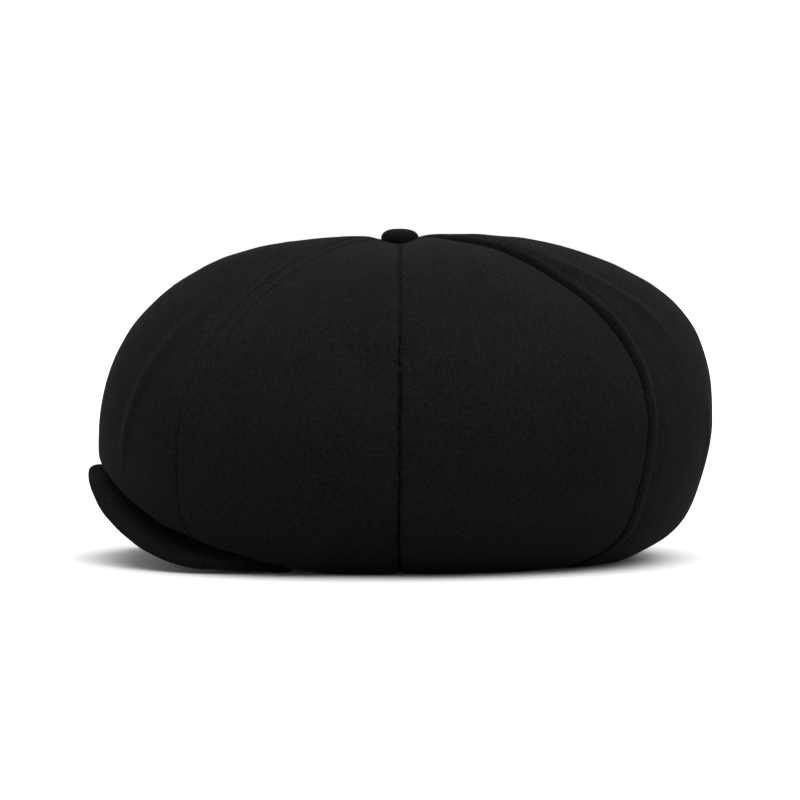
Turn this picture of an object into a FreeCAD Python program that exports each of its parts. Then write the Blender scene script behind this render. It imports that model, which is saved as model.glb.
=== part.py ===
import FreeCAD, Part
import Sketcher
import math
import os

# Newsboy cap: an eight-gored cloth crown with a covered button, a satin lining,
# a sweatband, and a stiff visor sewn to the front of the head opening.
# Frame: +Z up, -Y forward (visor), +X the wearer's left.  Millimetres.
# The cap lies on a table, so Z = 0 is the table and (0, 0) is the head's middle.

doc = FreeCAD.newDocument("newsboy_cap")
sheet = doc.addObject("Spreadsheet::Sheet", "Sizes")

SIZES = [
    # the head opening, measured on the sweatband's inner face
    ("head_half_length", 98.5),
    ("head_half_width", 82.5),
    ("band_wall", 2.2),
    # the crown's outside: how far it bulges, how high it stands
    ("reach_front", 138.5),
    ("reach_back", 143.5),
    ("reach_side", 131.0),
    ("crown_height", 151.0),
    ("widest_height", 59.4),
    ("widest_tilt", 6.5),
    ("upper_fullness", 2.48),
    ("fullness_tilt", 0.07),
    ("side_slope", 0.62),
    ("under_fullness", 1.82),
    ("front_fullness", 3.0),
    ("button_dip", 4.7),
    ("dip_radius", 20.0),
    ("dip_stretch", 2.0),
    # where the seams between the gores lie, in degrees round from the front
    ("front_seam", 43.2),
    ("side_seam", 90.0),
    ("back_seam", 142.8),
    # the opening edge rises over the visor
    ("arch_height", 44.5),
    ("arch_reach", 92.0),
    ("arch_fall", 4.3),
    # cloth
    ("wool_thick", 1.6),
    ("seam_gap", 0.06),
    ("apex_hole", 2.3),
    ("lining_inset", 3.2),
    ("satin_thick", 0.4),
    # sweatband and its stiffening
    ("band_tall", 34.0),
    ("band_thick", 1.0),
    ("band_lift", 0.8),
    ("band_back_gap", 0.8),
    ("interlining_thick", 0.5),
    ("interlining_tall", 24.0),
    # visor
    ("visor_half_angle", 50.0),
    ("visor_depth", 43.0),
    ("visor_fullness", 0.47),
    ("visor_lip_height", 41.0),
    ("visor_side_height", 5.0),
    ("visor_flat_from", 0.74),
    ("visor_thick", 4.8),
    ("board_thick", 1.6),
    ("board_inset", 2.6),
    ("visor_clear", 0.45),
    # covered button and what holds it
    ("button_radius", 8.85),
    ("button_rise", 5.65),
    ("seat_clear", 1.15),
    ("button_round", 4.6),
    ("cover_thick", 0.55),
    ("cover_turn", 2.2),
    ("fit_gap", 0.08),
    ("shell_thick", 0.5),
    ("tack_radius", 1.8),
    ("head_clear", 0.25),
    ("tack_plate", 0.7),
    ("tack_foot", 4.5),
    ("washer_radius", 9.5),
    ("washer_thick", 1.4),
    ("washer_drop", 5.8),
    # size label
    ("label_wide", 24.0),
    ("label_tall", 15.0),
    ("label_thick", 0.4),
]
for row, (name, value) in enumerate(SIZES, start=1):
    sheet.set("A%d" % row, name)
    sheet.set("B%d" % row, str(value))
    sheet.setAlias("B%d" % row, name)
doc.recompute()

VALUES = {name: float(sheet.get(name)) for name, value in SIZES}


def size(name):
    """One number read from the sheet."""
    return VALUES[name]


# ---------------------------------------------------------------- the crown's formula

def edge_radius(turn, grow=0.0):
    """Radius of the oval head opening, to the outside of the band wall."""
    half_x = size("head_half_width") + size("band_wall") + grow
    half_y = size("head_half_length") + size("band_wall") + grow
    return 1.0 / math.hypot(math.sin(turn) / half_x, math.cos(turn) / half_y)


def edge_height(turn):
    """Height of the opening edge: level on the table, arched over the visor."""
    part = min(abs(turn) / math.radians(size("arch_reach")), 1.0)
    return size("arch_height") * abs(math.cos(part * math.pi / 2)) ** size("arch_fall")


def crown_reach(turn):
    """Radius of the crown at its widest, an oval longer behind than before."""
    half_y = size("reach_front") if math.cos(turn) > 0 else size("reach_back")
    return 1.0 / math.hypot(math.sin(turn) / size("reach_side"), math.cos(turn) / half_y)


def meridian_point(turn, along):
    """Radius and height on the crown's outside; along runs 0 (apex) .. 1 (opening edge)."""
    reach = crown_reach(turn)
    middle = size("widest_height") - size("widest_tilt") * math.cos(turn)
    if along < 0.6:
        aside = min(2 * math.asin(min(abs(math.sin(turn)), 1.0)), math.pi / 2)
        full = size("upper_fullness") - size("fullness_tilt") * math.cos(turn) \
            - size("side_slope") * math.sin(aside) ** 2
        angle = along / 0.6 * math.pi / 2
        norm = (math.sin(angle) ** full + math.cos(angle) ** full) ** (1 / full)
        radius = reach * math.sin(angle) / norm
        height = middle + (size("crown_height") - middle) * math.cos(angle) / norm
    else:
        nearness = math.cos(min(abs(turn) / math.radians(75), 1.0) * math.pi / 2)
        full = size("under_fullness") + size("front_fullness") * nearness
        angle = (along - 0.6) / 0.4 * math.pi / 2
        norm = (math.sin(angle) ** full + abs(math.cos(angle)) ** full) ** (1 / full)
        inner = edge_radius(turn)
        radius = inner + (reach - inner) * abs(math.cos(angle)) / norm
        height = middle - (middle - edge_height(turn)) * math.sin(angle) / norm
    spread = math.hypot(math.sin(turn) / size("dip_stretch"), math.cos(turn))
    height = height - size("button_dip") * math.exp(-(radius * spread / size("dip_radius")) ** 3)
    return radius, height


def meridian(turn, inset, count):
    """Points of a meridian set in from the crown's outside, with radius and height."""
    out = []
    start = 0.0
    while meridian_point(turn, start)[0] < size("apex_hole") + 0.02 * inset:
        start += 0.001
    for i in range(count):
        along = start + (1 - start) * i / (count - 1)
        radius, height = meridian_point(turn, along)
        before = meridian_point(turn, max(along - 0.002, 0.0005))
        after = meridian_point(turn, min(along + 0.002, 1.0))
        d_radius, d_height = after[0] - before[0], after[1] - before[1]
        length = math.hypot(d_radius, d_height)
        radius = radius + inset * d_height / length
        height = height - inset * d_radius / length
        if i == 0:
            radius = size("apex_hole")
        if i == count - 1:
            radius = edge_radius(turn)
        out.append((radius, height))
    return out


def place(turn, radius, height):
    """A point from azimuth, radius and height; azimuth 0 is the front."""
    return FreeCAD.Vector(radius * math.sin(turn), -radius * math.cos(turn), height)


def smooth(points):
    """A smooth edge through the points."""
    curve = Part.BSplineCurve()
    curve.interpolate(points)
    return curve.toShape()


def section(outer, inner):
    """A closed wire round a strip of cloth seen edge on."""
    return Part.Wire([
        smooth(outer),
        Part.makeLine(outer[-1], inner[-1]),
        smooth(list(reversed(inner))),
        Part.makeLine(inner[0], outer[0]),
    ])


def cloth(name, wires, straight=False):
    """A named solid lofted through closed wires."""
    solid = Part.makeLoft(wires, True, straight)
    item = doc.addObject("Part::Feature", name)
    item.Label = name
    item.Shape = solid
    item.Placement = FreeCAD.Placement()
    return item


def gore(name, first, last, inset, thick, cuts=9, count=23):
    """One gore between two seams, from the apex hole down to the opening edge."""
    wires = []
    side = math.copysign(1.0, last - first)
    for i in range(cuts):
        turn = first + (last - first) * i / (cuts - 1)
        slack = 0.0
        if i == 0:
            slack = side
        if i == cuts - 1:
            slack = -side
        turn = turn + slack * size("seam_gap") / size("reach_side")
        outer = [place(turn, *p) for p in meridian(turn, inset, count)]
        inner = [place(turn, *p) for p in meridian(turn, inset + thick, count)]
        wires.append(section(outer, inner))
    return cloth(name, wires)


GORES = [
    ("front", 0.0, size("front_seam")),
    ("front_side", size("front_seam"), size("side_seam")),
    ("back_side", size("side_seam"), size("back_seam")),
    ("back", size("back_seam"), 180.0),
]
SIDES = [("left", 1), ("right", -1)]

for place_name, start, stop in GORES:
    for side_name, sign in SIDES:
        first = sign * math.radians(start)
        last = sign * math.radians(stop)
        gore("crown_panel_%s_%s" % (place_name, side_name), first, last, 0.0, size("wool_thick"))
        gore("lining_panel_%s_%s" % (place_name, side_name), first, last,
             size("lining_inset"), size("satin_thick"))


# ---------------------------------------------------------------- sweatband

def band(name, first, last, depth, thick, lift, tall, cuts):
    """An upright strip following the oval opening; depth is measured in from the wall."""
    wires = []
    for i in range(cuts):
        turn = first + (last - first) * i / (cuts - 1)
        low = edge_height(turn) + lift
        outside = edge_radius(turn, -depth)
        inside = edge_radius(turn, -depth - thick)
        corners = [(outside, low), (outside, low + tall), (inside, low + tall), (inside, low)]
        wires.append(Part.makePolygon([place(turn, *c) for c in corners + corners[:1]]))
    return cloth(name, wires)


back_end = math.pi - size("band_back_gap") / 2 / size("head_half_length")
band_depth = size("band_wall") - size("band_thick")
band("sweatband", -back_end, back_end, band_depth, size("band_thick"),
     size("band_lift"), size("band_tall"), 49)
band("sweatband_interlining", -back_end, back_end, band_depth - size("interlining_thick") - 0.1,
     size("interlining_thick"), size("band_lift") + 1.0, size("interlining_tall"), 49)
label_turn = size("label_wide") / 2 / size("head_half_length")
band("size_label", math.pi - 0.35 - label_turn, math.pi - 0.35 + label_turn,
     size("band_wall") + 0.1, size("label_thick"),
     size("band_lift") + (size("band_tall") - size("label_tall")) / 2, size("label_tall"), 7)


# ---------------------------------------------------------------- visor

def visor_frame(along):
    """Seam point, outward direction in plan, depth and heights at along = -1 .. 1."""
    turn = along * math.radians(size("visor_half_angle"))
    seam = place(turn, edge_radius(turn, size("visor_clear")), 0.0)
    half_x = size("head_half_width") + size("band_wall")
    half_y = size("head_half_length") + size("band_wall")
    out = FreeCAD.Vector(seam.x / half_x ** 2, seam.y / half_y ** 2, 0)
    out.normalize()
    depth = size("visor_depth") * (1 - along ** 2) ** size("visor_fullness")
    seam_height = edge_height(turn) - size("visor_clear") - size("visor_thick") / 2
    flat = min(abs(along) / size("visor_flat_from"), 1.0)
    fall = math.cos(flat * math.pi / 2) ** 2
    lip_height = size("visor_side_height") \
        + (size("visor_lip_height") - size("visor_side_height")) * fall
    seam_height = max(seam_height, size("visor_thick") / 2 + 0.4)
    return seam, out, depth, seam_height, lip_height


def visor_points(along, level, trim_in, trim_out, count):
    """Points from seam to lip on a layer level above (+) or below (-) the middle."""
    seam, out, depth, seam_height, lip_height = visor_frame(along)
    start = trim_in / depth
    stop = 1 - trim_out / depth
    rows = []
    for i in range(count):
        part = start + (stop - start) * i / (count - 1)
        height = seam_height + (lip_height - seam_height) * part + level
        rows.append(seam + out * (depth * part) + FreeCAD.Vector(0, 0, height))
    return rows


def visor_steps(limit, cuts):
    """Section places along the visor, closer together towards its ends."""
    return [limit * math.sin(-math.pi / 2 + math.pi * i / (cuts - 1)) for i in range(cuts)]


def visor_board():
    """The stiff board, inset from the seam, the lip and both ends."""
    half = size("board_thick") / 2
    wires = []
    for along in visor_steps(0.90, 21):
        top = visor_points(along, half, 1.0, size("board_inset"), 5)
        low = visor_points(along, -half, 1.0, size("board_inset"), 5)
        wires.append(section(top, low))
    return cloth("visor_board", wires)


def visor_cover(name, up):
    """One cloth cover, from the board's face outwards, rounded over to the lip's middle."""
    skin = size("visor_thick") / 2 - size("board_thick") / 2 - 0.1
    face = size("board_thick") / 2 + 0.1
    wires = []
    for along in visor_steps(0.975, 25):
        depth = visor_frame(along)[2]
        bend = min(size("visor_thick") / 2, 0.45 * depth)
        outside = visor_points(along, up * (face + skin), 0.0, bend, 5)
        middle = visor_points(along, up * 0.05, 0.0, 0.0, 5)[-1]
        knee = visor_points(along, up * (face + skin) * 0.72, 0.0, 0.28 * bend, 5)[-1]
        outside = outside + [knee, middle]
        trim = min(size("board_inset") - 0.4, 0.55 * depth)
        inside = visor_points(along, up * face, 0.0, trim, 5)
        turned = visor_points(along, up * 0.05, 0.0, trim - 0.2, 5)[-1]
        wires.append(Part.Wire([
            smooth(outside),
            Part.makeLine(middle, turned),
            Part.makeLine(turned, inside[-1]),
            smooth(list(reversed(inside))),
            Part.makeLine(inside[0], outside[0]),
        ]))
    return cloth(name, wires)


visor_board()
visor_cover("visor_top_cover", 1)
visor_cover("visor_under_cover", -1)


# ---------------------------------------------------------------- covered button

def total_of(terms):
    """The value of a signed sum of sizes, such as "button_radius - cover_thick"."""
    value = 0.0
    sign = 1.0
    for word in terms.split():
        if word == "+":
            sign = 1.0
        elif word == "-":
            sign = -1.0
        else:
            value += sign * size(word)
    return value


def bound(terms):
    """The same sum as an expression on the sheet."""
    return " ".join(w if w in "+-" else "Sizes." + w for w in terms.split())


def turned(name, corners):
    """A body revolved about the upright axis; corners are sums of sizes, "" is the axis."""
    body = doc.addObject("PartDesign::Body", name)
    body.Label = name
    sketch = body.newObject("Sketcher::SketchObject", name + "_profile")
    plane = [f for f in body.Origin.OriginFeatures if f.Role == "XZ_Plane"][0]
    sketch.AttachmentSupport = [(plane, "")]
    sketch.MapMode = "FlatFace"
    total = len(corners)
    spots = [FreeCAD.Vector(total_of(x), total_of(y), 0) for x, y in corners]
    for i in range(total):
        sketch.addGeometry(Part.LineSegment(spots[i], spots[(i + 1) % total]), False)
    for i in range(total):
        sketch.addConstraint(Sketcher.Constraint("Coincident", i, 2, (i + 1) % total, 1))
    for i, (across, up) in enumerate(corners):
        if across == "":
            sketch.addConstraint(Sketcher.Constraint("PointOnObject", i, 1, -2))
        else:
            n = sketch.addConstraint(
                Sketcher.Constraint("DistanceX", -1, 1, i, 1, spots[i].x))
            sketch.setExpression("Constraints[%d]" % n, bound(across))
        n = sketch.addConstraint(Sketcher.Constraint("DistanceY", -1, 1, i, 1, spots[i].y))
        sketch.setExpression("Constraints[%d]" % n, bound(up))
    spin = body.newObject("PartDesign::Revolution", name + "_turned")
    spin.Profile = sketch
    spin.ReferenceAxis = (sketch, ["V_Axis"])
    spin.Angle = 360.0
    doc.recompute()
    return body, spin


def rounded(body, base, radius, height, blend, number):
    """A fillet on the circular edge of the given radius and height."""
    edges = []
    for i, edge in enumerate(base.Shape.Edges, start=1):
        ring = isinstance(edge.Curve, Part.Circle)
        if ring and abs(edge.Curve.Radius - total_of(radius)) < 0.001 \
                and abs(edge.Curve.Center.z - total_of(height)) < 0.001:
            edges.append("Edge%d" % i)
    fillet = body.newObject("PartDesign::Fillet", "%s_round_%d" % (body.Label, number))
    fillet.Base = (base, edges)
    fillet.Radius = total_of(blend)
    fillet.setExpression("Radius", bound(blend))
    doc.recompute()
    return fillet


SEAT = "crown_height - button_dip + seat_clear"
RIM = "button_radius - cover_thick"
TOP = SEAT + " + button_rise"
body, solid = turned("button_cover", [
    ("", TOP),
    ("button_radius", TOP),
    ("button_radius", SEAT),
    ("button_radius - cover_turn", SEAT),
    ("button_radius - cover_turn", SEAT + " + cover_thick"),
    (RIM, SEAT + " + cover_thick"),
    (RIM, TOP + " - cover_thick"),
    ("", TOP + " - cover_thick"),
])
solid = rounded(body, solid, "button_radius", TOP, "button_round", 1)
solid = rounded(body, solid, RIM, TOP + " - cover_thick", "button_round - cover_thick", 2)

SHELL_RIM = RIM + " - fit_gap"
SHELL_TOP = TOP + " - cover_thick - fit_gap"
SHELL_FOOT = SEAT + " + cover_thick + fit_gap"
body, solid = turned("button_shell", [
    ("", SHELL_TOP),
    (SHELL_RIM, SHELL_TOP),
    (SHELL_RIM, SHELL_FOOT),
    (SHELL_RIM + " - shell_thick", SHELL_FOOT),
    (SHELL_RIM + " - shell_thick", SHELL_TOP + " - shell_thick"),
    ("", SHELL_TOP + " - shell_thick"),
])
solid = rounded(body, solid, SHELL_RIM, SHELL_TOP, "button_round - cover_thick", 1)
solid = rounded(body, solid, SHELL_RIM + " - shell_thick", SHELL_TOP + " - shell_thick",
                "button_round - cover_thick - shell_thick", 2)

TACK_TOP = SEAT + " + fit_gap + tack_plate"
TACK_HEAD = "button_radius - cover_turn - head_clear"
WASHER_TOP = SEAT + " - washer_drop"
WASHER_FOOT = WASHER_TOP + " - washer_thick"
turned("button_tack", [
    ("", TACK_TOP),
    (TACK_HEAD, TACK_TOP),
    (TACK_HEAD, TACK_TOP + " - tack_plate"),
    ("tack_radius", TACK_TOP + " - tack_plate"),
    ("tack_radius", WASHER_FOOT + " - fit_gap"),
    ("tack_foot", WASHER_FOOT + " - fit_gap"),
    ("tack_foot", WASHER_FOOT + " - fit_gap - tack_plate"),
    ("", WASHER_FOOT + " - fit_gap - tack_plate"),
])
turned("button_washer", [
    ("apex_hole", WASHER_TOP),
    ("washer_radius", WASHER_TOP),
    ("washer_radius", WASHER_FOOT),
    ("apex_hole", WASHER_FOOT),
])


# ---------------------------------------------------------------- check and write

doc.recompute()
os.makedirs("parts", exist_ok=True)
NAMES = ["crown_panel_%s_%s" % (g[0], s[0]) for g in GORES for s in SIDES]
NAMES += ["lining_panel_%s_%s" % (g[0], s[0]) for g in GORES for s in SIDES]
NAMES += ["sweatband", "sweatband_interlining", "size_label"]
NAMES += ["visor_board", "visor_top_cover", "visor_under_cover"]
NAMES += ["button_cover", "button_shell", "button_tack", "button_washer"]
for item in doc.Objects:
    if "Invalid" in item.State or "Error" in item.State:
        raise RuntimeError("%s did not compute" % item.Label)
for name in NAMES:
    item = doc.getObjectsByLabel(name)[0]
    if item.Shape.isNull() or not item.Shape.isValid() or item.Shape.Volume <= 0:
        raise RuntimeError("%s is not a good solid" % name)
    item.Shape.exportStep("parts/%s.step" % name)
    box = item.Shape.BoundBox
    print("%-34s %9.0f mm3  x %7.1f..%6.1f  y %7.1f..%6.1f  z %6.1f..%6.1f" % (
        name, item.Shape.Volume, box.XMin, box.XMax, box.YMin, box.YMax, box.ZMin, box.ZMax))
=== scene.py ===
# %% [markdown]
# # A newsboy cap
# A newsboy cap is a soft crown of eight cloth gores, a covered button where they meet, and a
# short stiff visor sewn under the front. Everything here is built on a frame that already
# holds the real sizes, so each surface below starts from that frame's numbers.

# %% Load the frame
import math

import bpy
import numpy as np
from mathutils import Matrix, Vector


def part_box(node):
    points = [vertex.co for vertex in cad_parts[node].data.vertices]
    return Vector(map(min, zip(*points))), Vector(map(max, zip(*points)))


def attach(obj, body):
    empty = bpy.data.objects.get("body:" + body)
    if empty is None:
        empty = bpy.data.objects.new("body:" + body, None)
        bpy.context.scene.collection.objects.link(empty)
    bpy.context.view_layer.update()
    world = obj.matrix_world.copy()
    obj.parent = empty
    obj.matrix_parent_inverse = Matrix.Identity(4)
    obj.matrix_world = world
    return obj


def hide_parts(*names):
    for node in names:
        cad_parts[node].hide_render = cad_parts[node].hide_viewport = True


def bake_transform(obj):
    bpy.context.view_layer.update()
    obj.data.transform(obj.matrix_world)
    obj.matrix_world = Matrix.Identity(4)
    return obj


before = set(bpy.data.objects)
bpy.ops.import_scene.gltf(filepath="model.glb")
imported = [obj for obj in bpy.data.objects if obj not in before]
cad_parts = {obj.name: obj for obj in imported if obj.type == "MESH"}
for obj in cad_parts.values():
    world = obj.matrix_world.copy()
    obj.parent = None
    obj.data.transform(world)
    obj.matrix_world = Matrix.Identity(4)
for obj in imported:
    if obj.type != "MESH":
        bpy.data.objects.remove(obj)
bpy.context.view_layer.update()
mm = 0.001

# %% [markdown]
# ## The shape every cloth piece shares
# The crown bulges out over an oval head opening and turns back under to meet it. One formula
# gives that surface: `turn` is the angle round the head (0 at the visor, positive to the
# wearer's left) and `along` runs from 0 at the button to 1 at the opening edge. Lining and
# sweatband come from the same formula, so nothing has to be fitted afterwards.

# %% Sizes read from the frame
REACH_FRONT = -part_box("crown_panel_front_left")[0][1]
REACH_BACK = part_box("crown_panel_back_left")[1][1]
REACH_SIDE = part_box("crown_panel_front_side_left")[1][0]
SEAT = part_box("button_cover")[0][2]
BUTTON_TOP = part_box("button_cover")[1][2]
BUTTON_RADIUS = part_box("button_cover")[1][0]
BAND_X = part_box("sweatband")[1][0]
BAND_Y = -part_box("sweatband")[0][1]
OPEN_X = BAND_X + 1.2 * mm
OPEN_Y = BAND_Y + 1.2 * mm
LIP_REACH = -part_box("visor_top_cover")[0][1]

CROWN_TOP = SEAT + 3.6 * mm
DIP = 4.7 * mm
DIP_RADIUS = 9.6 * mm
DIP_STRETCH = 3.6
DIP_LEAN = 0.12
FRONT_FALL, FALL_AT = 0.9 * mm, 22 * mm
WIDEST = 59.4 * mm
WIDEST_TILT = 6.5 * mm
ARCH = 44.5 * mm
ARCH_REACH = math.radians(92)
ARCH_FALL = 4.3
DROOP, DROOP_TURN, DROOP_WIDE = 4.5 * mm, math.radians(21), math.radians(12)
FRONT_SEAM, SIDE_SEAM, BACK_SEAM = 43.2, 90.0, 142.8
WIDEST_ALONG = 0.6
UPPER_FULL, FULL_TILT, SIDE_SLOPE = 2.48, 0.07, 0.62
UNDER_FULL, FRONT_FULL = 1.82, 3.0
print("crown reach, front/back/side (mm):",
      [round(v / mm, 1) for v in (REACH_FRONT, REACH_BACK, REACH_SIDE)])


# %% The crown's surface
def opening_radius(turn, grow=0.0):
    """Radius of the oval head opening: an ellipse in polar form."""
    return 1 / np.hypot(np.sin(turn) / (OPEN_X + grow), np.cos(turn) / (OPEN_Y + grow))


def opening_height(turn):
    """The opening edge lies on the table and rises over the visor as a power of a cosine."""
    part = np.minimum(np.abs(turn) / ARCH_REACH, 1)
    return ARCH * np.abs(np.cos(part * np.pi / 2)) ** ARCH_FALL


def crown_polar(turn, along):
    """Radius and height of the crown. Above the widest line a superellipse runs up to the
    top, below it another turns under to the opening and droops over the visor's sides. The
    top falls a little to the front, and a bell-shaped dip, longer sideways, holds the button."""
    turn, along = np.broadcast_arrays(turn, along)
    ahead = np.cos(turn)
    reach_y = np.where(ahead > 0, REACH_FRONT, REACH_BACK)
    reach = 1 / np.hypot(np.sin(turn) / REACH_SIDE, ahead / reach_y)
    middle = WIDEST - WIDEST_TILT * ahead
    angle = np.clip(along / WIDEST_ALONG, 0, 1) * np.pi / 2
    aside = np.minimum(2 * np.arcsin(np.abs(np.sin(turn)).clip(0, 1)), np.pi / 2)
    full = UPPER_FULL - FULL_TILT * ahead - SIDE_SLOPE * np.sin(aside) ** 2
    norm = (np.sin(angle) ** full + np.abs(np.cos(angle)) ** full) ** (1 / full)
    upper_radius = reach * np.sin(angle) / norm
    upper_height = middle + (CROWN_TOP - middle) * np.cos(angle) / norm
    angle = np.clip((along - WIDEST_ALONG) / (1 - WIDEST_ALONG), 0, 1) * np.pi / 2
    near = np.cos(np.minimum(np.abs(turn) / math.radians(75), 1) * np.pi / 2)
    full = UNDER_FULL + FRONT_FULL * near
    norm = (np.sin(angle) ** full + np.abs(np.cos(angle)) ** full) ** (1 / full)
    inner = opening_radius(turn)
    lower_radius = inner + (reach - inner) * np.abs(np.cos(angle)) / norm
    lower_height = middle - (middle - opening_height(turn)) * np.sin(angle) / norm
    lower_height = lower_height - DROOP * np.sin(2 * angle) * np.exp(
        -(((np.abs(turn) - DROOP_TURN) / DROOP_WIDE) ** 2))
    radius = np.where(along < WIDEST_ALONG, upper_radius, lower_radius)
    height = np.where(along < WIDEST_ALONG, upper_height, lower_height)
    spread = np.hypot(np.sin(turn) / DIP_STRETCH, ahead) * (1 - DIP_LEAN * ahead)
    fall = radius / FALL_AT * np.exp(1 - radius / FALL_AT)
    height = height - FRONT_FALL * ahead.clip(0, 1) * fall
    return radius, height - DIP * np.exp(-((radius * spread / DIP_RADIUS) ** 2))


def to_points(turn, radius, height):
    """Points from angle, radius and height."""
    return np.stack(np.broadcast_arrays(
        radius * np.sin(turn), -radius * np.cos(turn), height), axis=-1)


def outward(points):
    """Unit normals of a grid of points, from its two sets of neighbours, away from the head."""
    across = np.gradient(points, axis=1)
    down = np.gradient(points, axis=0)
    normal = np.cross(across, down)
    normal /= np.maximum(np.linalg.norm(normal, axis=-1, keepdims=True), 1e-12)
    core = points * [0.45, 0.45, 0] + [0, 0, WIDEST]
    facing = np.sign(((points - core) * normal).sum(-1).mean())
    return normal * facing


top_radius, top_height = crown_polar(np.array([0.0, np.pi]), np.array([0.1, 0.1]))
print("crown a tenth of the way down, front and back (mm):",
      (top_radius / mm).round(1), (top_height / mm).round(1))

# %% [markdown]
# ## Small unevenness
# Sewn cloth is never quite even. A sum of plane waves with random directions gives a smooth
# unevenness that is the same each time, because the directions come from a fixed seed.

# %% Smooth random values
def ripple(points, length, seed, waves=14):
    """A smooth random value of about -1 to 1 at each point: the sum of plane waves, each
    about the given length, with directions and phases drawn from the seed."""
    draw = np.random.default_rng(seed)
    direction = draw.normal(size=(waves, 3))
    direction /= np.linalg.norm(direction, axis=1, keepdims=True)
    pace = 2 * np.pi / (length * draw.uniform(0.7, 1.5, size=(waves, 1)))
    phase = draw.uniform(0, 2 * np.pi, waves)
    return np.sin(points @ (direction * pace).T + phase).sum(-1) / waves ** 0.5


def along_seam(along, side, length, seed):
    """The same kind of value for a seam, where only the way along it and the side count."""
    where = np.stack(np.broadcast_arrays(along * 0.27, side * 0.5, 0.0), axis=-1)
    return ripple(where, length, seed, waves=9)


def step_up(value, low, high):
    """0 below low, 1 above high, and a smooth S between."""
    part = np.clip((value - low) / (high - low), 0, 1)
    return part * part * (3 - 2 * part)


def hump(value, width):
    """A bell of height 1 and the given half width."""
    return np.exp(-((value / width) ** 2))


def groove(value, width, power=1.15):
    """A sharp-bottomed valley, as cloth makes where two edges are sewn and turned in."""
    return np.exp(-((np.abs(value) / width) ** power))


print("halfway out, a hump is", hump(0.5, 1).round(2), "and a groove", groove(0.5, 1).round(2))

# %% [markdown]
# ## Seams, ridges and folds
# What makes the crown read as sewn is how the surface behaves near each seam. Each seam is
# written as a height profile across it, in millimetres: a narrow valley at the sides, two low
# ridges where the pressed-open edges show at the front, and a rolled edge beside a deep
# valley at the back. Longer bumps are the folds that the slack cloth holds.

# %% Relief of the crown
def side_seam(across, along, side, seed):
    """A narrow valley with small stitch puckers beside it."""
    pull = along_seam(along, np.sign(across) + side, 5 * mm, seed)
    wander = 0.12 * along_seam(along, side, 16 * mm, seed + 1)
    away = across / mm + wander
    return (-(2.0 + 0.4 * pull) * groove(away, 1.1)
            - 0.45 * hump(away, 5.0)
            + 0.10 * (1 + pull) * hump(np.abs(away) - 3.0, 1.4))


def front_seam(across, along, side, height, seed):
    """Two ridges over the pressed-open edges, dying out lower down where the valley shows."""
    high = step_up(height, 58 * mm, 80 * mm)
    low = step_up(height, 8 * mm, 40 * mm)
    pull = along_seam(along, np.sign(across) + side, 9 * mm, seed)
    away = across / mm
    apart = 1.6 + 3.2 * step_up(height, 62 * mm, 100 * mm)
    ridges = hump(np.abs(away) - apart, 1.25) * (0.6 + 0.12 * pull)
    return high * (ridges + 0.2 * hump(away, 6.5)) \
        - (1.25 * (1 - high) * (0.35 + 0.65 * low) + 0.12) * groove(away, 0.9)


def back_seam(across, along, side, height, radius, seed):
    """A deep valley on the near side and a rolled edge on the far side of the seam."""
    strong = step_up(radius, 10 * mm, 40 * mm) \
        * (0.38 + 0.62 * step_up(height, 50 * mm, 115 * mm))
    pull = along_seam(along, side, 22 * mm, seed)
    away = across / mm
    near = -2.8 * groove(away, 0.9, 1.3) - 0.5 * hump(away, 8)
    far = -2.8 * groove(away, 0.55, 1.4) - 0.5 * hump(away, 2) \
        + 1.5 * hump(away - 2.5, 1.9) - 0.55 * hump(away - 6.4, 2.0) + 0.5 * hump(away - 13, 6)
    return strong * (1 + 0.12 * pull) * np.where(away < 0, near, far) \
        - 0.8 * (1 - strong) * groove(away, 1.0)


def fold(turn, height, radius, line, span, width):
    """A long soft ridge: line gives its angle in degrees at its two ends in height."""
    (low, low_turn), (high, high_turn) = line
    part = np.clip((height - low) / (high - low), 0, 1)
    centre = np.radians(low_turn + (high_turn - low_turn) * part)
    ends = step_up(height, low - span, low + span) \
        * (1 - step_up(height, high - span, high + span))
    return ends * hump(radius * (np.abs(turn) - centre), width)


# Each fold: how far it rises, its lower end and its upper end (height, then angle in
# degrees), how long its ends fade and how wide it is; lengths are in millimetres.
FOLDS = [(1.3, 52, 25, 116, 31, 10, 4.0), (1.8, 108, 156, 139, 150, 8, 4.5),
         (1.0, 46, 169, 74, 166, 8, 4), (0.8, 86, 143, 122, 147, 10, 6),
         (-1.1, 80, 85, 104, 80, 12, 13), (-0.9, 116, 64, 132, 60, 10, 14)]


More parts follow.
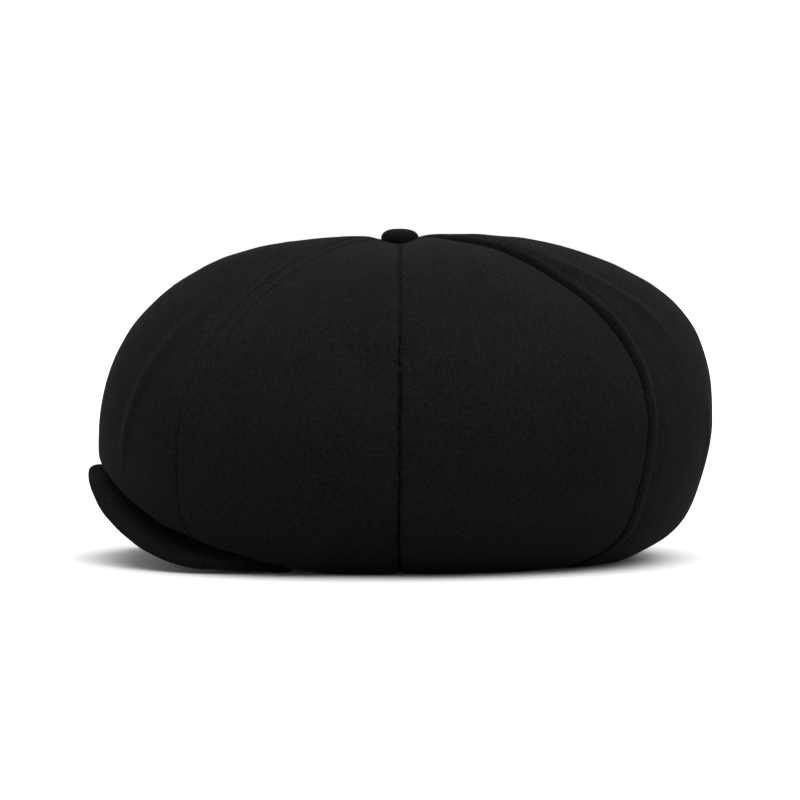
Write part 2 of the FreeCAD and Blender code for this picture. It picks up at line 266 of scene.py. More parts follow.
def crown_relief(turn, along, radius, height, points):
    """Everything that stands above or below the plain crown, in metres along the normal."""
    side = np.sign(turn)
    turned = np.abs(turn)
    gone = step_up(radius, 5 * mm, 26 * mm)
    distance = {k: radius * (turned - math.radians(k))
                for k in (0, FRONT_SEAM, SIDE_SEAM, BACK_SEAM, 180)}
    bumps = side_seam(distance[SIDE_SEAM], along, side, 11) \
        + side_seam(radius * turn, along, 0 * side, 12) * 0.8 \
        + side_seam(distance[180], along, 0 * side, 13) * 0.8 \
        + front_seam(distance[FRONT_SEAM], along, side, height, 21) \
        + back_seam(distance[BACK_SEAM], along, side, height, radius, 31)
    puff = sum(hump(distance[k], 15 * mm) for k in distance) * -0.4
    folds = sum(rise * fold(turn, height, radius, ((low * mm, low_turn), (high * mm, high_turn)),
                            span * mm, width * mm)
                for rise, low, low_turn, high, high_turn, span, width in FOLDS)
    drift = 0.5 * ripple(points, 70 * mm, 5) + 0.14 * ripple(points, 22 * mm, 6)
    behind = np.cos(turn) < 0
    swell = 0.9 * step_up(height, 2 * mm, 25 * mm) \
        + 0.9 * np.where(behind, 1, 0.7) * hump(height - 118 * mm, 26 * mm) \
        + 2.0 * behind * hump(height - 20 * mm, 14 * mm) * step_up(height, 1 * mm, 13 * mm)
    return gone * (bumps + puff + folds + drift + swell) * mm


print("seams on each side (degrees):", FRONT_SEAM, SIDE_SEAM, BACK_SEAM, "folds:", len(FOLDS))

# %% [markdown]
# ## Turning grids into closed pieces
# Each cloth piece has two faces and a rim. Its outer and inner grids are joined into closed
# rings and the two ends are capped, so the piece is watertight whatever its shape.

# %% Mesh makers
def finish_mesh(name, points, faces):
    """A named object from points and quads, turned right side out by the sign of its volume."""
    corner = points[faces]
    first = (np.cross(corner[:, 0], corner[:, 1]) * corner[:, 2]).sum()
    second = (np.cross(corner[:, 0], corner[:, 2]) * corner[:, 3]).sum()
    if first + second < 0:
        faces = faces[:, ::-1]
    mesh = bpy.data.meshes.new(name)
    mesh.from_pydata(points.tolist(), [], faces.tolist())
    mesh.shade_smooth()
    piece = bpy.data.objects.new(name, mesh)
    bpy.context.scene.collection.objects.link(piece)
    return piece


def shell_piece(name, outer, inner):
    """A closed piece from two grids of the same shape: its outside and its inside."""
    rows, cols = outer.shape[:2]
    rings = np.concatenate([outer, inner[:, ::-1]], axis=1)
    index = np.arange(rows * 2 * cols).reshape(rows, 2 * cols)
    a, b = index[:-1], index[1:]
    walls = np.stack([a, np.roll(a, -1, 1), np.roll(b, -1, 1), b], axis=-1).reshape(-1, 4)
    top_out, top_in = index[0, :cols], index[0, ::-1][:cols]
    end_out, end_in = index[-1, :cols], index[-1, ::-1][:cols]
    first = np.stack([top_out[1:], top_out[:-1], top_in[:-1], top_in[1:]], axis=-1)
    last = np.stack([end_out[:-1], end_out[1:], end_in[1:], end_in[:-1]], axis=-1)
    faces = np.concatenate([walls, first, last])
    piece = finish_mesh(name, rings.reshape(-1, 3), faces)
    return piece


def keep_value(piece, name, values):
    """A number on every point of a piece, for its material to read."""
    layer = piece.data.attributes.new(name, "FLOAT", "POINT")
    layer.data.foreach_set("value", values.astype(np.float32).ravel())


print("mesh makers ready: finish_mesh, shell_piece, keep_value")

# %% [markdown]
# ## Brushed wool cloth
# The cap's cloth is a dense wool that has been milled and brushed, so no weave shows: only a
# fine nap of short fibres. A node group makes that nap once. It gives a tone that varies from
# fibre to fibre and a height for the bump. The sheen of the nap is set on the shader itself.

# %% Node group: nap of felted fibres
def new_group(name, numbers, outputs):
    """An empty node group with number inputs and the named outputs."""
    group = bpy.data.node_groups.new(name, "ShaderNodeTree")
    for label, value in numbers:
        socket = group.interface.new_socket(label, in_out="INPUT", socket_type="NodeSocketFloat")
        socket.default_value = value
    for label in outputs:
        group.interface.new_socket(label, in_out="OUTPUT", socket_type="NodeSocketFloat")
    return group, group.nodes.new("NodeGroupInput"), group.nodes.new("NodeGroupOutput")


def math_node(tree, operation, *values):
    """A math node whose inputs are numbers or sockets; returns its output socket."""
    node = tree.nodes.new("ShaderNodeMath")
    node.operation = operation
    for socket, value in zip(node.inputs, values):
        if isinstance(value, (int, float)):
            socket.default_value = value
        else:
            tree.links.new(value, socket)
    return node.outputs[0]


def noise_node(tree, vector, scale, detail=2.0, rough=0.5):
    """A noise node on the given coordinates; returns its value socket."""
    node = tree.nodes.new("ShaderNodeTexNoise")
    node.inputs["Detail"].default_value = detail
    node.inputs["Roughness"].default_value = rough
    if isinstance(scale, (int, float)):
        node.inputs["Scale"].default_value = scale
    else:
        tree.links.new(scale, node.inputs["Scale"])
    tree.links.new(vector, node.inputs["Vector"])
    return node.outputs[0]


def stretched(tree, vector, turn, scale):
    """Coordinates turned and stretched, so that a noise on them looks like short fibres."""
    node = tree.nodes.new("ShaderNodeMapping")
    node.inputs["Rotation"].default_value = turn
    node.inputs["Scale"].default_value = scale
    tree.links.new(vector, node.inputs["Vector"])
    return node.outputs[0]


def build_nap():
    """Nap: two sets of crossed short fibres over a fine grain, a coarser mottle and slow
    cloudy patches. Grain and mottle are drawn out sideways, the way the nap is brushed."""
    numbers = [("Grain", 1500.0), ("Mottle", 820.0), ("Patches", 45.0)]
    tree, given, out = new_group("wool_nap", numbers, ["Tone", "Height"])
    here = tree.nodes.new("ShaderNodeTexCoord").outputs["Object"]
    brushed = stretched(tree, here, (0, 0, 0), (0.45, 1, 1))
    grain = noise_node(tree, brushed, given.outputs["Grain"], 3.0, 0.65)
    one = noise_node(tree, stretched(tree, here, (0.5, 0.3, 0.9), (3.2, 0.8, 3.2)), 800.0, 1.0)
    two = noise_node(tree, stretched(tree, here, (1.1, -0.6, -0.4), (0.8, 3.4, 3.2)), 800.0, 1.0)
    cloud = noise_node(tree, here, given.outputs["Patches"], 3.0, 0.55)
    fibres = math_node(tree, "MAXIMUM", one, two)
    mottle = noise_node(tree, brushed, given.outputs["Mottle"], 2.0)
    fine = math_node(tree, "ADD", math_node(tree, "MULTIPLY", grain, 0.36),
                     math_node(tree, "MULTIPLY", fibres, 0.36))
    both = math_node(tree, "MULTIPLY_ADD", mottle, 0.42, fine)
    tree.links.new(both, out.inputs["Height"])
    slow = math_node(tree, "MULTIPLY", math_node(tree, "SUBTRACT", cloud, 0.5), 0.07)
    tree.links.new(math_node(tree, "ADD", both, slow), out.inputs["Tone"])
    return tree


wool_nap = build_nap()
print("nap group:", len(wool_nap.nodes), "nodes")


# %% Material: near-black wool
def new_material(name):
    """A material with its Principled shader; returns both and the tree."""
    material = bpy.data.materials.new(name)
    material.use_nodes = True
    tree = material.node_tree
    return material, tree, tree.nodes["Principled BSDF"]


def mix_colours(tree, amount, low, high):
    """A colour between two, by a socket from 0 to 1."""
    node = tree.nodes.new("ShaderNodeMix")
    node.data_type = "RGBA"
    node.inputs[6].default_value = (*low, 1)
    node.inputs[7].default_value = (*high, 1)
    tree.links.new(amount, node.inputs[0])
    return node.outputs[2]


def bump_from(tree, shader, height, distance, strength):
    """Feeds a height into the shader's normal."""
    bump = tree.nodes.new("ShaderNodeBump")
    bump.inputs["Distance"].default_value = distance
    bump.inputs["Strength"].default_value = strength
    tree.links.new(height, bump.inputs["Height"])
    tree.links.new(bump.outputs["Normal"], shader.inputs["Normal"])


def wool_material(name, dark, light):
    """Brushed wool: nap tone between two near-blacks, with painted shade in seams and creases.
    """
    material, tree, shader = new_material(name)
    nap = tree.nodes.new("ShaderNodeGroup")
    nap.node_tree = wool_nap
    nap.inputs["Grain"].default_value = 1500
    nap.inputs["Mottle"].default_value = 820
    nap.inputs["Patches"].default_value = 45
    tone = math_node(tree, "MULTIPLY_ADD", nap.outputs["Tone"], 2.2, -0.84)
    # Painted shade: a per-point value, high where the relief sinks in, is taken off the tone so
    # seams and creases look darker.
    painted_crease_shade = tree.nodes.new("ShaderNodeAttribute")
    painted_crease_shade.attribute_name = "painted_crease_shade"
    tone = math_node(tree, "SUBTRACT", tone, painted_crease_shade.outputs["Fac"])
    held = tree.nodes.new("ShaderNodeClamp")
    tree.links.new(tone, held.inputs["Value"])
    tree.links.new(mix_colours(tree, held.outputs[0], dark, light),
                   shader.inputs["Base Color"])
    bump_from(tree, shader, nap.outputs["Height"], 0.5 * mm, 0.55)
    shader.inputs["Roughness"].default_value = 0.95
    shader.inputs["Specular IOR Level"].default_value = 0.02
    shader.inputs["Sheen Weight"].default_value = 0.006
    shader.inputs["Sheen Roughness"].default_value = 0.45
    shader.inputs["Sheen Tint"].default_value = (0.85, 0.9, 1.0, 1)
    return material


wool = wool_material("brushed_wool", (0.0007, 0.0007, 0.0009), (0.0064, 0.0064, 0.0074))
print("material:", wool.name, "with", len(wool.node_tree.nodes), "nodes")

# %% [markdown]
# ## The eight gores
# On the real cap eight leaf-shaped gores are cut flat, stitched edge to edge and turned. Each
# is built here between its two seams, with columns packed closely at the seams, where the
# cloth bends sharply, and spread out in the middle. The relief formula is shared, so both
# gores at a seam meet along the same line.

# %% Crown gores
WOOL = 1.5 * mm
FIRST_RING = 0.0065
OFF_TABLE = 0.15 * mm


def crowded(count):
    """Numbers from 0 to 1, close together at both ends: half of one minus a cosine."""
    return 0.5 * (1 - np.cos(np.pi * np.linspace(0, 1, count)))


def gore_grid(first, last, rows, cols):
    """Angles across a gore and places down it."""
    turn = first + (last - first) * crowded(cols)[None, :]
    along = (FIRST_RING + (1 - FIRST_RING) * np.linspace(0, 1, rows))[:, None]
    return np.broadcast_arrays(turn, along)


def crown_gore(name, node, first, last):
    """One gore of the crown with its relief, and the painted crease shade for its material."""
    turn, along = gore_grid(first, last, 236, 92)
    radius, height = crown_polar(turn, along)
    plain = to_points(turn, radius, height)
    normal = outward(plain)
    lift = crown_relief(turn, along, radius, height, plain)
    outer = plain + normal * lift[..., None]
    inner = outer - normal * WOOL
    outer[..., 2] = np.maximum(outer[..., 2], OFF_TABLE)
    piece = shell_piece(name, outer, inner)
    # Painted shade: the deeper the relief sinks below 0.6 mm, the darker the cloth is painted
    # there.
    painted_crease_shade = np.clip(-lift / mm - 0.6, 0, 2) * 0.22
    keep_value(piece, "painted_crease_shade", np.concatenate([painted_crease_shade, painted_crease_shade[:, ::-1]], axis=1))
    piece.data.materials.append(wool)
    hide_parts(node)
    return piece


def follow_visor(piece):
    """Bakes the piece's placement into its points."""
    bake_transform(piece)


QUARTERS = [("front", 0, FRONT_SEAM), ("front_side", FRONT_SEAM, SIDE_SEAM),
            ("back_side", SIDE_SEAM, BACK_SEAM), ("back", BACK_SEAM, 180)]
SIDES = [("left", 1), ("right", -1)]
for quarter, start, stop in QUARTERS:
    for side, sign in SIDES:
        gore = crown_gore(f"crown_gore_{quarter}_{side}", f"crown_panel_{quarter}_{side}",
                          sign * math.radians(start), sign * math.radians(stop))
        if start < 90:
            follow_visor(gore)
        else:
            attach(gore, "cap")
print("gores built:", 2 * len(QUARTERS))

# %% [markdown]
# ## Lining
# Inside hangs a satin lining of eight gores, cut a little smaller than the crown and caught
# only at the button and the opening edge. It uses the same surface, moved inwards, with slack
# wrinkles instead of the wool's relief.

# %% Node group: fine thread lines, and the satin material
def build_thread_lines():
    """Thread lines: a sine wave along one direction of the piece, roughened by noise."""
    tree, given, out = new_group("thread_lines", [("Pitch", 4000.0), ("Waver", 0.3)],
                                 ["Lines", "Cloud"])
    here = tree.nodes.new("ShaderNodeTexCoord").outputs["Object"]
    parts = tree.nodes.new("ShaderNodeSeparateXYZ")
    tree.links.new(here, parts.inputs[0])
    waver = noise_node(tree, here, 900.0, 2.0)
    across = math_node(tree, "MULTIPLY", parts.outputs["Z"], given.outputs["Pitch"])
    across = math_node(tree, "ADD", across, math_node(
        tree, "MULTIPLY", waver, math_node(tree, "MULTIPLY", given.outputs["Waver"], 20.0)))
    wave = math_node(tree, "MULTIPLY_ADD", math_node(tree, "SINE", across), 0.5, 0.5)
    tree.links.new(wave, out.inputs["Lines"])
    tree.links.new(noise_node(tree, here, 60.0, 3.0), out.inputs["Cloud"])
    return tree


thread_lines = build_thread_lines()


def woven_material(name, dark, light, pitch, waver, rough, depth, sheen=0.0):
    """A cloth with fine parallel threads: tone, gloss and bump all follow the threads."""
    material, tree, shader = new_material(name)
    threads = tree.nodes.new("ShaderNodeGroup")
    threads.node_tree = thread_lines
    threads.inputs["Pitch"].default_value = pitch
    threads.inputs["Waver"].default_value = waver
    tone = math_node(tree, "ADD", math_node(tree, "MULTIPLY", threads.outputs["Lines"], 0.55),
                     math_node(tree, "MULTIPLY", threads.outputs["Cloud"], 0.45))
    tree.links.new(mix_colours(tree, tone, dark, light), shader.inputs["Base Color"])
    gloss = math_node(tree, "MULTIPLY_ADD", threads.outputs["Cloud"], 0.2, rough - 0.1)
    tree.links.new(gloss, shader.inputs["Roughness"])
    bump_from(tree, shader, threads.outputs["Lines"], depth, 0.6)
    shader.inputs["Sheen Weight"].default_value = sheen
    return material


satin = woven_material("lining_satin", (0.010, 0.010, 0.012), (0.030, 0.030, 0.034),
                       5200, 0.4, 0.36, 0.06 * mm)
print("material:", satin.name)


# %% Lining gores
def lining_gore(name, node, first, last):
    """A lining gore: the crown moved inwards, drawn in at the seams and softly wrinkled."""
    turn, along = gore_grid(first, last, 130, 44)
    radius, height = crown_polar(turn, along)
    plain = to_points(turn, radius, height)
    normal = outward(plain)
    seam = np.abs(radius * np.minimum(np.abs(turn - first), np.abs(turn - last)))
    inset = 3.4 + 2.0 * step_up(radius, 12 * mm, 42 * mm)
    inset = 1.9 + (inset - 1.9) * step_up(1 - along, 0.0, 0.14)
    slack = step_up(radius, 12 * mm, 40 * mm) * step_up(1 - along, 0.0, 0.2)
    wrinkle = 0.8 * ripple(plain * [1, 1, 0.35], 26 * mm, 41) + 0.8 * groove(seam / mm, 1.0)
    outer = plain - normal * ((inset - slack * wrinkle) * mm)[..., None]
    piece = shell_piece(name, outer, outer - normal * 0.3 * mm)
    piece.data.materials.append(satin)
    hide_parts(node)
    return piece


for quarter, start, stop in QUARTERS:
    for side, sign in SIDES:
        gore = lining_gore(f"lining_gore_{quarter}_{side}", f"lining_panel_{quarter}_{side}",
                           sign * math.radians(start), sign * math.radians(stop))
        if start < 90:
            follow_visor(gore)
        else:
            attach(gore, "cap")
print("lining gores built:", 2 * len(QUARTERS))

# %% [markdown]
# ## Sweatband, its stitches and the size label
# The sweatband is one ribbed cotton strip round the opening, its ends meeting at the back. It
# is sewn along its lower edge only, so the free upper edge leans in and waves a little. The
# stitches are short threads laid along that lower edge: one small tube repeated by formula.

# %% Sweatband
BAND_LIFT = 0.8 * mm
BAND_TALL = 34 * mm


def band_point(turn, up, depth):
    """A point on the band: depth in from the opening, leaning in towards the free edge."""
    lean = 1.3 * mm * up ** 2 * (1 + 0.5 * np.sin(5 * turn + 1) + 0.4 * np.sin(11 * turn))
    radius = opening_radius(turn, -(depth + lean))
    lift = opening_height(turn) + BAND_LIFT + up * BAND_TALL
    return to_points(turn, radius, lift)


def band_piece(name, first, last, low, high, depth, thick, steps):
    """A strip of the band's surface between two angles and two heights."""
    turn = np.linspace(first, last, steps[0])[:, None]
    up = np.linspace(low, high, steps[1])[None, :]
    outer, inner = band_point(turn, up, depth), band_point(turn, up, depth + thick)
    return shell_piece(name, outer, inner)


cotton = woven_material("sweatband_cotton", (0.012, 0.012, 0.013), (0.034, 0.034, 0.036),
                        3600, 0.1, 0.72, 0.25 * mm, sheen=0.1)
band_end = math.pi - 0.04 * mm / OPEN_Y
band = band_piece("sweatband_strip", -band_end, band_end, 0, 1, 1.2 * mm, 1.0 * mm, (420, 22))
band.data.materials.append(cotton)
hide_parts("sweatband")
follow_visor(band)

label_cloth = woven_material("label_cloth", (0.35, 0.35, 0.35), (0.55, 0.55, 0.54),
                             6000, 0.1, 0.8, 0.08 * mm)
label_middle = math.pi - 0.35
label_half = 12 * mm / OPEN_Y
label = band_piece("size_label_cloth", label_middle - label_half, label_middle + label_half,
                   0.28, 0.72, 2.3 * mm, 0.35 * mm, (24, 14))
label.data.materials.append(label_cloth)
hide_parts("size_label")
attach(label, "cap")
print("sweatband points:", len(band.data.vertices), "label points:", len(label.data.vertices))


# %% Stitches
def stitch_row(name, start, stop, outside, thread):
    """Short threads along a line of start and stop points: each a six-sided tube that bows
    out from the cloth as half a sine, thinner at its ends."""
    part = np.linspace(0, 1, 6)[None, :, None]
    line = start[:, None] + (stop - start)[:, None] * part
    line = line + outside[:, None] * thread * 0.9 * np.sin(np.pi * part)
    ahead = (stop - start) / np.linalg.norm(stop - start, axis=1, keepdims=True)
    sideways = np.cross(ahead, outside)
    angle = np.linspace(0, 2 * np.pi, 6, endpoint=False)
    thin = thread * (0.35 + 0.65 * np.sin(np.pi * part[0, :, 0]) ** 0.5)
    ring = (np.cos(angle)[:, None] * outside[:, None, None] +
            np.sin(angle)[:, None] * sideways[:, None, None]) * thin[None, :, None, None]
    tube = line[:, :, None] + ring
    count, rows, cols = tube.shape[:3]
    index = np.arange(count * rows * cols).reshape(count, rows, cols)
    a, b = index[:, :-1], index[:, 1:]
    walls = np.stack([a, np.roll(a, -1, 2), np.roll(b, -1, 2), b], axis=-1).reshape(-1, 4)
    near, far = index[:, 0], index[:, -1]
    caps = np.concatenate([near[:, [3, 2, 1, 0]], near[:, [5, 4, 3, 0]],
                           far[:, [0, 1, 2, 3]], far[:, [0, 3, 4, 5]]])
    return finish_mesh(name, tube.reshape(-1, 3), np.concatenate([walls, caps]))


STITCHES = 168
places = np.arange(-STITCHES / 2, STITCHES / 2) / STITCHES * 2 * band_end
ends = places + 0.62 * (places[1] - places[0])
seam_up = 3.0 * mm / BAND_TALL
stitch_from = band_point(places, seam_up, 2.25 * mm)
stitch_to = band_point(ends, seam_up, 2.25 * mm)
inwards = -to_points(places, 1.0, 0.0)
thread_cotton = woven_material("thread_cotton", (0.012, 0.012, 0.013), (0.04, 0.04, 0.042),
                               9000, 0.1, 0.6, 0.05 * mm)
stitches = stitch_row("sweatband_stitches", stitch_from, stitch_to, inwards, 0.32 * mm)
stitches.data.materials.append(thread_cotton)
follow_visor(stitches)
print("stitches:", len(places))

# %% [markdown]
# ## Visor
# The visor is a stiff board between two cloth covers, sewn to the front of the opening. It is
# arched like a roof tile: high in the middle, down on the table at both ends. Each cover is a
# section path (flat, then a quarter round over the lip) carried from one end to the other. The
# ends are sewn to the cap.

# %% Visor covers
HALF_ANGLE = math.radians(58)
HALF_THICK = 2.4 * mm
LIP_HALF = {1: 3.2 * mm, -1: 4.0 * mm}
CLEAR = 0.45 * mm
MID_DEPTH = LIP_REACH - OPEN_Y - CLEAR + 0.6 * mm
LIP_LOW, LIP_HIGH, LIP_FLAT_FROM = 5.0 * mm, 40.6 * mm, 0.72
COVER = 1.2 * mm


def visor_rib(place):
    """Across the visor at place -1..1: where it leaves the seam, which way it runs, how far,
    and the heights of its middle layer at the seam and at the lip. The depth is a superellipse
    of the place, and the lip falls from the middle as one minus a power, squared."""
    turn = place * HALF_ANGLE
    radius = opening_radius(turn, CLEAR)
    seam = to_points(turn, radius, 0 * turn)
    out = np.stack([seam[..., 0] / OPEN_X ** 2, seam[..., 1] / OPEN_Y ** 2, 0 * turn], axis=-1)
    out /= np.linalg.norm(out, axis=-1, keepdims=True)
    depth = MID_DEPTH * (1 - np.abs(place) ** 2.6) ** 0.5
    fall = (1 - np.minimum(np.abs(place) / LIP_FLAT_FROM, 1) ** 1.5) ** 2
    lip = LIP_LOW + (LIP_HIGH - LIP_LOW) * fall
    seam_height = np.maximum(opening_height(turn) - CLEAR - HALF_THICK, HALF_THICK + 0.4 * mm)
    return seam, out, depth, seam_height, lip


def visor_layer(place, inset, up, count=(30, 16)):
    """One face of a cover, inset from the outside: flat from the seam, then round the lip to
    its middle. up is 1 for the top cover and -1 for the one beneath."""
    seam, out, depth, seam_height, lip = (v[:, None] for v in visor_rib(place))
    half = np.minimum(LIP_HALF[up], 0.42 * depth)
    flat = np.linspace(0, 1, count[0], endpoint=False)[None, :]
    angle = np.linspace(0, 1, count[1])[None, :] * np.pi / 2
    curl = 1.5 * half
    reach = np.concatenate([(depth - curl) * flat,
                            depth - curl + (curl - inset) * np.sin(angle)], axis=1)
    seam_half = np.minimum(HALF_THICK, 0.42 * depth)
    level = seam_half + (half - seam_half) * flat ** 2
    level = np.concatenate([level - inset, (half - inset) * np.cos(angle) + 0 * depth], axis=1)
    part = reach / depth
    height = seam_height + (lip - seam_height) * part + up * level
    grid = seam + out * reach[..., None]
    return np.concatenate([grid[..., :2], height[..., None]], axis=-1)


def visor_cover(name, node, up):
    """A cover from its outer and inner faces, with a little unevenness in the cloth."""
    place = 0.985 * np.sin(np.linspace(-np.pi / 2, np.pi / 2, 190))
    outer = visor_layer(place, 0.0, up)
    inner = visor_layer(place, COVER, up)
    rim = np.linspace(0, 1, outer.shape[1])[None, :]
    uneven = 0.22 * mm * ripple(outer, 24 * mm, 51) * step_up(rim, 0.02, 0.3)
    outer[..., 2] = np.maximum(outer[..., 2] + up * uneven, 0.25 * mm)
    piece = shell_piece(name, outer, inner)
    keep_value(piece, "painted_crease_shade", np.zeros(len(piece.data.vertices)))
    piece.data.materials.append(wool)
    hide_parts(node)
    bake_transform(piece)
    return piece


for name, node, up in (("visor_cloth_top", "visor_top_cover", 1),
                       ("visor_cloth_under", "visor_under_cover", -1)):
    cover = visor_cover(name, node, up)
    print(cover.name, "points:", len(cover.data.vertices))

# %% [markdown]
# ## Covered button
# The button is a pressed metal shell with a disc of the same cloth gathered over it. Turning
# a profile round the upright axis gives the dome; small lobes near the rim are the gathers.

# %% Button
def turned_piece(name, radius, height):
    """A closed piece of revolution from grids of radius and height: rows run from the top
    pole to the bottom pole, columns go round. The poles are closed with fans."""
    rows, cols = radius.shape
    turn = np.linspace(0, 2 * np.pi, cols, endpoint=False)[None, :]
    body = to_points(turn, radius, height).reshape(-1, 3)
    poles = np.array([[0, 0, height[0].mean()], [0, 0, height[-1].mean()]])
    index = np.arange(rows * cols).reshape(rows, cols)
    a, b = index[:-1], index[1:]
    walls = np.stack([a, np.roll(a, -1, 1), np.roll(b, -1, 1), b], axis=-1).reshape(-1, 4)
    top, end = rows * cols, rows * cols + 1
    pairs = index[0].reshape(-1, 2), index[-1].reshape(-1, 2)
    after = np.roll(pairs[0][:, 0], -1), np.roll(pairs[1][:, 0], -1)
    fan_top = np.stack([0 * after[0] + top, after[0], pairs[0][:, 1], pairs[0][:, 0]], axis=-1)
    fan_end = np.stack([0 * after[1] + end, pairs[1][:, 0], pairs[1][:, 1], after[1]], axis=-1)
    faces = np.concatenate([walls, fan_top, fan_end])
    return finish_mesh(name, np.concatenate([body, poles]), faces)


def button_cloth():
    """The dome above its widest line, and the turned-under edge below it, each a
    superellipse; the gathers are a sum of two waves round the rim."""
    turn = np.linspace(0, 2 * np.pi, 96, endpoint=False)[None, :]
    angle = np.concatenate([np.linspace(0.04, 1, 34), 1 + np.linspace(0.06, 0.97, 18)])
    angle = angle[:, None] * np.pi / 2
    above = angle <= np.pi / 2 + 1e-9
    full = np.where(above, 2.5, 3.2)
    foot = SEAT - 2.2 * mm
    widest = foot + 0.38 * (BUTTON_TOP - foot)
    tall = np.where(above, BUTTON_TOP - widest, widest - foot)
    norm = (np.abs(np.sin(angle)) ** full + np.abs(np.cos(angle)) ** full) ** (1 / full)
    out = np.sin(angle) / norm
    up = np.cos(angle) / norm
    gather = 0.10 * np.sin(11 * turn + 0.7) + 0.07 * np.sin(17 * turn + 2)
    gather = gather * step_up(out, 0.5, 1.0) * mm
    radius = BUTTON_RADIUS * out - np.abs(gather)
    lift = widest + tall * up + 0.12 * mm * np.sin(3 * turn + 1) * out
    return turned_piece("button_cloth", radius, lift)


button = button_cloth()
keep_value(button, "painted_crease_shade", np.zeros(len(button.data.vertices)))
button.data.materials.append(wool)
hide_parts("button_cover")
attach(button, "cap")
print("button points:", len(button.data.vertices))

# %% [markdown]
# ## Finishes for the pieces that keep their frame shape
# The button's metal and the washer are already the right shape, so they only get materials.
# Brushed metal is a fine scratch noise, stretched one way, in roughness and bump.

# %% Hidden pieces' materials
def grained_material(name, dark, light, scale, stretch, rough, metal, depth):
    """A material whose tone, roughness and bump follow one stretched noise."""
    material, tree, shader = new_material(name)
    here = tree.nodes.new("ShaderNodeTexCoord").outputs["Object"]
    grain = noise_node(tree, stretched(tree, here, (0, 0, 0.4), stretch), scale, 4.0, 0.6)
    tree.links.new(mix_colours(tree, grain, dark, light), shader.inputs["Base Color"])
    tree.links.new(math_node(tree, "MULTIPLY_ADD", grain, 0.3, rough - 0.15),
                   shader.inputs["Roughness"])
    bump_from(tree, shader, grain, depth, 0.4)
    shader.inputs["Metallic"].default_value = metal
    return material


board = grained_material("visor_board_plastic", (0.05, 0.05, 0.05), (0.09, 0.09, 0.09),
                         900, (1, 1, 1), 0.55, 0.0, 0.1 * mm)
pressed = grained_material("pressed_aluminium", (0.55, 0.55, 0.57), (0.8, 0.8, 0.82),
                           700, (1, 9, 1), 0.35, 1.0, 0.02 * mm)
steel = grained_material("tack_steel", (0.4, 0.4, 0.41), (0.62, 0.62, 0.63),
                         900, (1, 8, 1), 0.32, 1.0, 0.02 * mm)
felt = grained_material("washer_felt", (0.012, 0.012, 0.013), (0.04, 0.04, 0.042),
                        1300, (1, 1, 1), 0.9, 0.0, 0.3 * mm)
canvas = woven_material("interlining_canvas", (0.42, 0.40, 0.35), (0.62, 0.6, 0.54),
                        3000, 0.2, 0.85, 0.15 * mm)
for node, material in (("button_shell", pressed), ("button_tack", steel),
                       ("button_washer", felt)):
    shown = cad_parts[node]
    shown.data.materials.clear()
    shown.data.materials.append(material)
    print(node, "is shown in", material.name)

# %% [markdown]
# ## Board and interlining
# Two stiff layers hide inside the cloth: a plastic board in the visor and a canvas strip behind
# the sweatband. Both could keep their plain frame shape, but the cloth round them is shaped
# more finely, so each is worked out from the same formula as its cloth and stays inside it.

# %% Board
BOARD_HALF = 0.8 * mm
BOARD_SHORT = 3.6 * mm


def board_face(place, half):
    """The middle layer of the visor between its covers, moved up or down by half."""
    seam, out, depth, seam_height, lip = (v[:, None] for v in visor_rib(place))
    reach = 1.0 * mm + (depth - BOARD_SHORT) * np.linspace(0, 1, 16)[None, :]
    height = seam_height + (lip - seam_height) * reach / depth + half
    grid = seam + out * reach[..., None]
    return np.concatenate([grid[..., :2], height[..., None]], axis=-1)


place = np.linspace(-0.84, 0.84, 90)
core = shell_piece("visor_board_core", board_face(place, BOARD_HALF),
                   board_face(place, -BOARD_HALF))
core.data.materials.append(board)
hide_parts("visor_board")
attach(core, "visor")
print("board points:", len(core.data.vertices))

# %% Interlining
stiffener = band_piece("sweatband_canvas_strip", -band_end, band_end, 0.06, 0.76, 0.5 * mm,
                       0.5 * mm, (320, 10))
stiffener.data.materials.append(canvas)
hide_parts("sweatband_interlining")
follow_visor(stiffener)
print("interlining points:", len(stiffener.data.vertices))

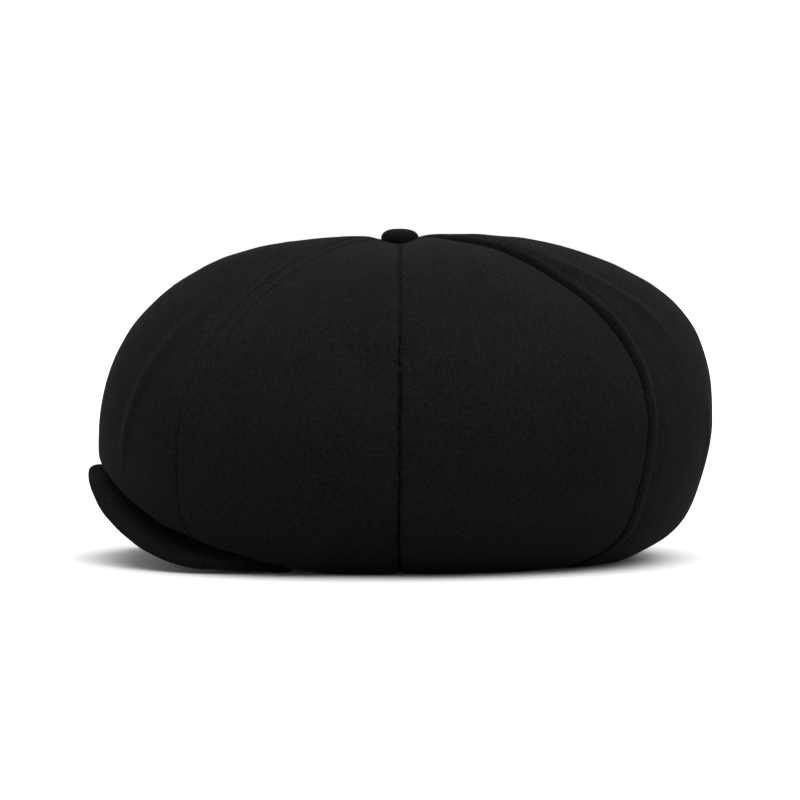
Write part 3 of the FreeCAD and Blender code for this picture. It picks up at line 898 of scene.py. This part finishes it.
# %% [markdown]
# ## Floor, light and camera
# The cap lies on a white studio floor under a broad soft light from above, with an even pale
# surround, so the floor stays white except for a tight shadow where the cloth touches it.

# %% Floor
floor_mesh = bpy.data.meshes.new("floor")
FLOOR = 9
corners = [(-FLOOR, -FLOOR, 0), (FLOOR, -FLOOR, 0), (FLOOR, FLOOR, 0), (-FLOOR, FLOOR, 0)]
floor_mesh.from_pydata(corners, [], [(0, 1, 2, 3)])
floor = bpy.data.objects.new("floor", floor_mesh)
bpy.context.scene.collection.objects.link(floor)
floor_paint, tree, shader = new_material("floor_paint")
shader.inputs["Base Color"].default_value = (0.55, 0.55, 0.55, 1)
shader.inputs["Roughness"].default_value = 0.8
floor_mesh.materials.append(floor_paint)
print("floor:", 2 * FLOOR, "m across")

# %% Light
world = bpy.data.worlds.new("studio")
bpy.context.scene.world = world
world.use_nodes = True
surround = world.node_tree.nodes["Background"]
surround.inputs["Color"].default_value = (1, 1, 1, 1)
surround.inputs["Strength"].default_value = 1.0

sky = bpy.data.lights.new("soft_overhead", "SUN")
sky.energy = 6.4
sky.angle = math.radians(84)
overhead = bpy.data.objects.new("soft_overhead", sky)
bpy.context.scene.collection.objects.link(overhead)
overhead.rotation_euler = (math.radians(-12), math.radians(14), 0)
print("light:", sky.energy, "at", round(math.degrees(sky.angle)), "degrees wide")

# %% Camera
camera_data = bpy.data.cameras.new("camera")
camera = bpy.data.objects.new("camera", camera_data)
bpy.context.scene.collection.objects.link(camera)
bpy.context.scene.camera = camera
DISTANCE = 1.8
TILT = math.radians(2.5)
AIM_HEIGHT = 0.0735
FRAME_WIDTH = 0.372
SENSOR = 36
camera_data.sensor_width = SENSOR
camera_data.lens = SENSOR * DISTANCE / FRAME_WIDTH
camera.location = (DISTANCE * math.cos(TILT), 0, AIM_HEIGHT + DISTANCE * math.sin(TILT))
camera.rotation_euler = (math.pi / 2 - TILT, 0, math.pi / 2)
bpy.context.scene.view_settings.view_transform = "Standard"
print("camera:", DISTANCE, "m away, lens", round(camera_data.lens), "mm")
